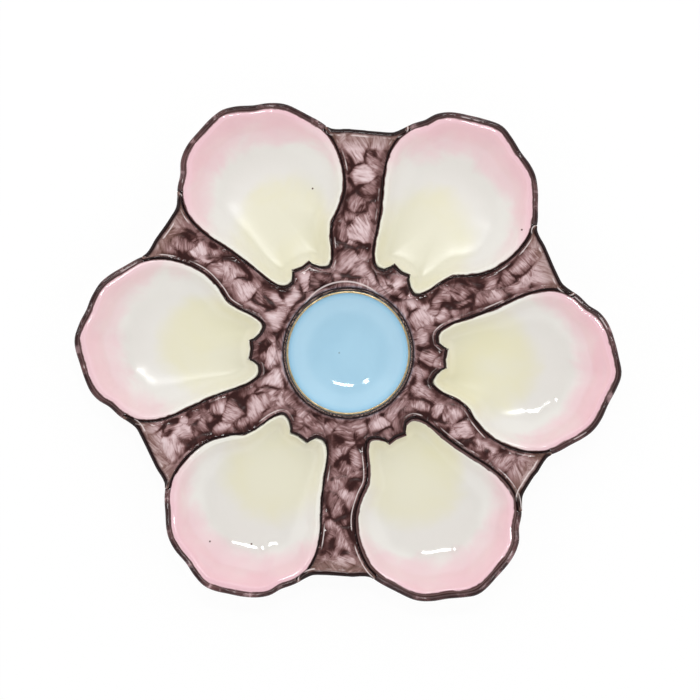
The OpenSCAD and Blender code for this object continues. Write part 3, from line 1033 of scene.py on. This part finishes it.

# %% [markdown]
# ## The sauce well's glaze
# The blue is one clear sky blue with slow clouds. It is deeper in a ring just below the lip, and the back
# is plain warm white. Each vertex keeps its distance from the axis, which is negative on the back.

# %% Sauce glaze
def sauce_glaze():
    glaze = Glaze("sauce_glaze", roughness=0.06)
    clouds = glaze.use(CLOUDS, Scale=26, Low=0.3, High=0.7)
    radius, x, y = glaze.parts(glaze.attribute("from_axis"))
    colour = glaze.mix(clouds, tint(168, 208, 229), tint(180, 218, 237))
    colour = glaze.mix(glaze.times(glaze.span(radius, 24.8, 26.4), 0.6), colour, tint(138, 184, 210))
    colour = glaze.mix(glaze.times(speck(glaze, x, y, (-4.0, 0.0)), 0.4), colour, BROWN)
    colour = glaze.mix(glaze.span(radius, -1.0, -4.0), colour, WARM_WHITE)
    return glaze.finish(colour, wave=0.05, pits=0.01)


SAUCE_GLAZE = sauce_glaze()
print("glaze:", SAUCE_GLAZE.name)

# %% [markdown]
# ## The sauce well
# The round well is thrown, so its section is spun round the plate's axis. The inside is a quarter of an
# ellipse that ends in a small flat floor, the outside another one, and a small round leads over the lip.

# %% Sauce well
CUP_R = 26.4
CUP_LIP_Z = 17.5
CUP_FLAT_R = 9.24
CUP_SEAT_R = 13.05
AXIS_R = 0.0001
CUP_TURNS = 128
NECK_Z = GROUND_Z + GROUND_SHARE[0][1] * GROUND_RISE - GROUND_WALL


def quarter(r0, r1, z0, z1, steps):
    """Quarter of an ellipse from (r0, z0), flat, to (r1, z1), upright."""
    turns = [math.pi / 2 * s / steps for s in range(steps + 1)]
    return [(r0 + (r1 - r0) * math.sin(a), z0 + (z1 - z0) * (1 - math.cos(a))) for a in turns]


inside = quarter(CUP_FLAT_R, CUP_R, FLOOR_Z, CUP_LIP_Z - 0.3, 24)
outside = quarter(CUP_SEAT_R, COLLAR_R, FOOT_Z, NECK_Z, 12)
lip = [(CUP_R + 0.1, CUP_LIP_Z - 0.08), (CUP_R + 0.3, CUP_LIP_Z), (COLLAR_R, CUP_LIP_Z)]
bm = lathe([(AXIS_R, FLOOR_Z), (4, FLOOR_Z)] + inside + lip + outside[::-1] + [(AXIS_R, FOOT_Z)], CUP_TURNS)
bmesh.ops.remove_doubles(bm, verts=bm.verts[:], dist=1e-5)
bmesh.ops.recalc_face_normals(bm, faces=bm.faces[:])
bm.normal_update()
layer = bm.verts.layers.float_vector.new("from_axis")
for vert in bm.verts:
    radius = -FAR if vert.normal.z < -0.05 else vert.co.xy.length / MM
    vert[layer] = (radius, vert.co.x / MM, vert.co.y / MM)
cup = new_piece("sauce_bowl", bm)
cup.data.materials.append(SAUCE_GLAZE)
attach(cup, "root")
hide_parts("sauce_well")
print("sauce well faces:", len(cup.data.polygons))

# %% [markdown]
# ## The gilt line
# Gold is brushed on after the last glaze firing and fixed in a cooler one, so it lies on top as a thin
# metal skin, a little worn and matt. It could be a mask in the blue glaze, but it has a solid of its own,
# so it is a low ring with a metal finish.

# %% Gilt line
GILT_WIDTH = 1.0
GILT_R = CUP_R + GILT_WIDTH
GILT_SECTION = [(CUP_R, -0.1), (CUP_R, 0.12), (CUP_R + 0.3, 0.2), (GILT_R - 0.2, 0.2), (GILT_R, -0.1)]


def gilding():
    glaze = Glaze("gilding", roughness=0.28, coat=0.0, metallic=1.0)
    clouds = glaze.use(CLOUDS, Scale=500, Low=0.4, High=0.7)
    colour = glaze.mix(clouds, tint(204, 182, 142), tint(176, 152, 112))
    return glaze.finish(colour, wave=0.3, pits=0.2)


gilt = new_piece("gilt_band", lathe([(r, CUP_LIP_Z + z) for r, z in GILT_SECTION], CUP_TURNS))
gilt.data.materials.append(gilding())
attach(gilt, "root")
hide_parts("gilt_line")
print("gilt line faces:", len(gilt.data.polygons))

# %% [markdown]
# ## The beaded collar
# Round the gilt line runs a cord of small beads, nearly black, with pale dashes where the glaze is thin on
# its crown. The cord is spun, and its vertices are let down between the beads by a wave of the angle. The
# dashes follow the ring, so the vertices keep a value that changes round it and closes on itself.

# %% Collar
BEAD_WIDTH = 1.6
BEAD_RISE = 0.9
BEADS = 96
BEAD_STEPS = 6
BEAD_DIP = 0.45
BEAD_MIDDLE = GILT_R + BEAD_WIDTH / 2


def collar_glaze():
    glaze = Glaze("collar_glaze", roughness=0.12, coat=0.1, gloss=0.12)
    turn, radius = glaze.parts(glaze.attribute("round_collar"))[:2]
    dash = glaze.node("ShaderNodeCombineXYZ", X=glaze.times(turn, 7), Y=glaze.times(radius, 0.9))
    dashes = glaze.noise(dash.outputs["Vector"], 3, 2)
    off_crown = glaze.math("ABSOLUTE", glaze.math("SUBTRACT", radius, 28.0))
    crown = glaze.math("SUBTRACT", 1.0, glaze.span(off_crown, 0.1, 0.55))
    colour = glaze.mix(glaze.times(glaze.span(dashes, 0.46, 0.64), crown), BROWN_DARK, tint(176, 150, 140))
    return glaze.finish(colour, wave=0.1, pits=0.05)


crown = [(BEAD_MIDDLE + math.cos(a) * BEAD_WIDTH / 2, CUP_LIP_Z + math.sin(a) * BEAD_RISE)
         for a in [math.pi * s / 8 for s in range(9)]]
bm = lathe(crown, BEADS * BEAD_STEPS)
layer = bm.verts.layers.float_vector.new("round_collar")
for vert in bm.verts:
    turn = math.atan2(vert.co.y, vert.co.x)
    high = (vert.co.z / MM - CUP_LIP_Z) / BEAD_RISE
    dip = abs(math.cos(turn * BEADS / 2)) ** 4 * BEAD_DIP
    vert.co.z -= high * dip * BEAD_RISE * MM
    vert[layer] = (math.sin(turn) * 3 + math.cos(turn * 2), vert.co.xy.length / MM, 0)
collar = new_piece("beaded_collar", bm)
collar.data.materials.append(collar_glaze())
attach(collar, "root")
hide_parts("cup_bead")
print("collar faces:", len(collar.data.polygons))

# %% [markdown]
# ## The foot ring
# The foot's solid is already turned and cut to the wells, so it stays and only takes a glaze: warm
# white, with the bare clay showing where it stands on the table.

# %% Foot ring glaze
BARE_TO = (0.0009, 0.0004)


def foot_glaze():
    glaze = Glaze("foot_glaze", roughness=0.14)
    height = glaze.parts(glaze.place())[2]
    clouds = glaze.use(CLOUDS, Scale=90, Low=0.35, High=0.7)
    colour = glaze.mix(clouds, tint(226, 222, 208), tint(236, 233, 222))
    colour = glaze.mix(glaze.span(height, *BARE_TO), colour, tint(205, 188, 160))
    return glaze.finish(colour, wave=0.1, pits=0.08)


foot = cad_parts["foot_ring"]
foot.data.materials.clear()
foot.data.materials.append(foot_glaze())

# %% [markdown]
# ## The table
# The photo is a catalogue picture on white. Table and plate can't be lit alike for that, since a table
# bright enough to look white would light the plate from below. So the table glows for the camera, and for
# mirror and glass rays, and stays a plain pale table for all other light. A small share of the pale table
# remains in it, which keeps the plate's shadow.

# %% Table
TABLE_HALF = 3.0
TABLE_WHITE = 0.86
TABLE_GLOW = 1.01
TABLE_SHARE = 0.92


def table_cloth():
    material = bpy.data.materials.new("white_table")
    material.use_nodes = True
    tree = material.node_tree
    tree.nodes.remove(tree.nodes["Principled BSDF"])
    diffuse = tree.nodes.new("ShaderNodeBsdfDiffuse")
    diffuse.inputs["Color"].default_value = (TABLE_WHITE, TABLE_WHITE, TABLE_WHITE, 1)
    glow = tree.nodes.new("ShaderNodeEmission")
    glow.inputs["Strength"].default_value = TABLE_GLOW
    path = tree.nodes.new("ShaderNodeLightPath")
    seen = path.outputs["Is Camera Ray"]
    for ray in ("Is Glossy Ray", "Is Transmission Ray"):
        either = tree.nodes.new("ShaderNodeMath")
        either.operation = "MAXIMUM"
        tree.links.new(seen, either.inputs[0])
        tree.links.new(path.outputs[ray], either.inputs[1])
        seen = either.outputs[0]
    share = tree.nodes.new("ShaderNodeMath")
    share.operation = "MULTIPLY"
    share.inputs[1].default_value = TABLE_SHARE
    tree.links.new(seen, share.inputs[0])
    mix = tree.nodes.new("ShaderNodeMixShader")
    tree.links.new(share.outputs[0], mix.inputs["Fac"])
    tree.links.new(diffuse.outputs[0], mix.inputs[1])
    tree.links.new(glow.outputs[0], mix.inputs[2])
    tree.links.new(mix.outputs[0], tree.nodes["Material Output"].inputs["Surface"])
    return material


bm = bmesh.new()
bmesh.ops.create_grid(bm, x_segments=1, y_segments=1, size=TABLE_HALF)
table = new_piece("table", bm)
table.data.materials.append(table_cloth())
table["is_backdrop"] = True
print("table is metres wide:", round(table.dimensions.x, 1))

# %% [markdown]
# ## The room
# Most of the light comes from a white room. Straight overhead it is dim, because a shiny dark glaze seen
# from above mirrors that part, and a bright one would turn the browns grey. Between 18 and 44 degrees
# off the vertical it grows bright, and it is a little brighter behind the plate.

# %% Room
ROOM_LIGHT = 1.2
OVERHEAD_LIGHT = 0.15
OVERHEAD_SPAN = (0.72, 0.95)
BEHIND_GAIN = 0.08


def studio_room():
    """White room that is dim overhead and a little brighter behind the plate."""
    world = bpy.data.worlds.new("studio")
    world.use_nodes = True
    tree = world.node_tree
    split = tree.nodes.new("ShaderNodeSeparateXYZ")
    tree.links.new(tree.nodes.new("ShaderNodeTexCoord").outputs["Generated"], split.inputs[0])
    overhead = tree.nodes.new("ShaderNodeMapRange")
    overhead.interpolation_type = "SMOOTHSTEP"
    tree.links.new(split.outputs["Z"], overhead.inputs["Value"])
    for label, value in zip(("From Min", "From Max", "To Min", "To Max"),
                            OVERHEAD_SPAN + (ROOM_LIGHT, OVERHEAD_LIGHT)):
        overhead.inputs[label].default_value = value
    behind = tree.nodes.new("ShaderNodeMath")
    behind.operation = "MULTIPLY_ADD"
    behind.inputs[1].default_value = BEHIND_GAIN
    behind.inputs[2].default_value = 1.0
    tree.links.new(split.outputs["Y"], behind.inputs[0])
    room = tree.nodes.new("ShaderNodeMath")
    room.operation = "MULTIPLY"
    tree.links.new(overhead.outputs["Result"], room.inputs[0])
    tree.links.new(behind.outputs[0], room.inputs[1])
    tree.links.new(room.outputs[0], tree.nodes["Background"].inputs["Strength"])
    tree.nodes["Background"].inputs["Color"].default_value = (1, 1, 1, 1)
    return world


bpy.context.scene.world = studio_room()
print("room strength at the side and overhead:", ROOM_LIGHT, OVERHEAD_LIGHT)

# %% [markdown]
# ## The lamps
# The bars of light in the wells are the picture of a long soft lamp above the plate, towards the top edge
# of the photo, with a short upright one to its left. Area lamps give their shape to the highlights, so
# two rectangles are hung where the highlights ask for them.

# %% Lamps
LAMP_TARGET = Vector((0, 0, 0.02))


def soft_box(name, place, width, depth, power):
    """A rectangular lamp in metres and watts, turned towards the plate."""
    light = bpy.data.lights.new(name, "AREA")
    light.shape = "RECTANGLE"
    light.size, light.size_y, light.energy = width, depth, power
    obj = bpy.data.objects.new(name, light)
    obj.location = place
    obj.rotation_euler = (LAMP_TARGET - Vector(place)).to_track_quat("-Z", "Y").to_euler()
    bpy.context.scene.collection.objects.link(obj)
    return obj


lamps = [soft_box("key_box", (0.045, 0.28, 0.98), 0.18, 0.06, 1.7),
         soft_box("side_box", (-0.18, 0.28, 0.96), 0.04, 0.11, 0.5)]
print("lamps:", [lamp.name for lamp in lamps])

# %% [markdown]
# ## The camera
# The photo looks straight down. Its scale is known from the plate: so many pixels for its width, which
# gives the lens for a camera a metre up, and the plate's middle lies a little off the picture's middle,
# which gives the camera's place. The lens is worked out for the height of the rims, which make the
# silhouette.

# %% Camera
PHOTO_WIDTH = 700
PLATE_PIXELS = 549
CAMERA_Z = 1.05
RIM_Z = 0.026
PLATE_CENTRE_PIXEL = (348.2, 352.9)
pixel = 2 * PLATE_R * MM / PLATE_PIXELS
camera_data = bpy.data.cameras.new("camera")
camera_data.sensor_width = 36
camera_data.lens = 36 * (CAMERA_Z - RIM_Z) / (PHOTO_WIDTH * pixel)
camera = bpy.data.objects.new("camera", camera_data)
camera.location = ((PHOTO_WIDTH / 2 - PLATE_CENTRE_PIXEL[0]) * pixel,
                   (PLATE_CENTRE_PIXEL[1] - PHOTO_WIDTH / 2) * pixel, CAMERA_Z)
bpy.context.scene.collection.objects.link(camera)
bpy.context.scene.camera = camera
bpy.context.scene.view_settings.view_transform = "Standard"
print("lens:", round(camera_data.lens, 1), "mm")

# %% [markdown]
# ## The size of the dressed plate
# The box round all dressed pieces is worked out; the table is left out of it.

# %% Size
low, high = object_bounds()
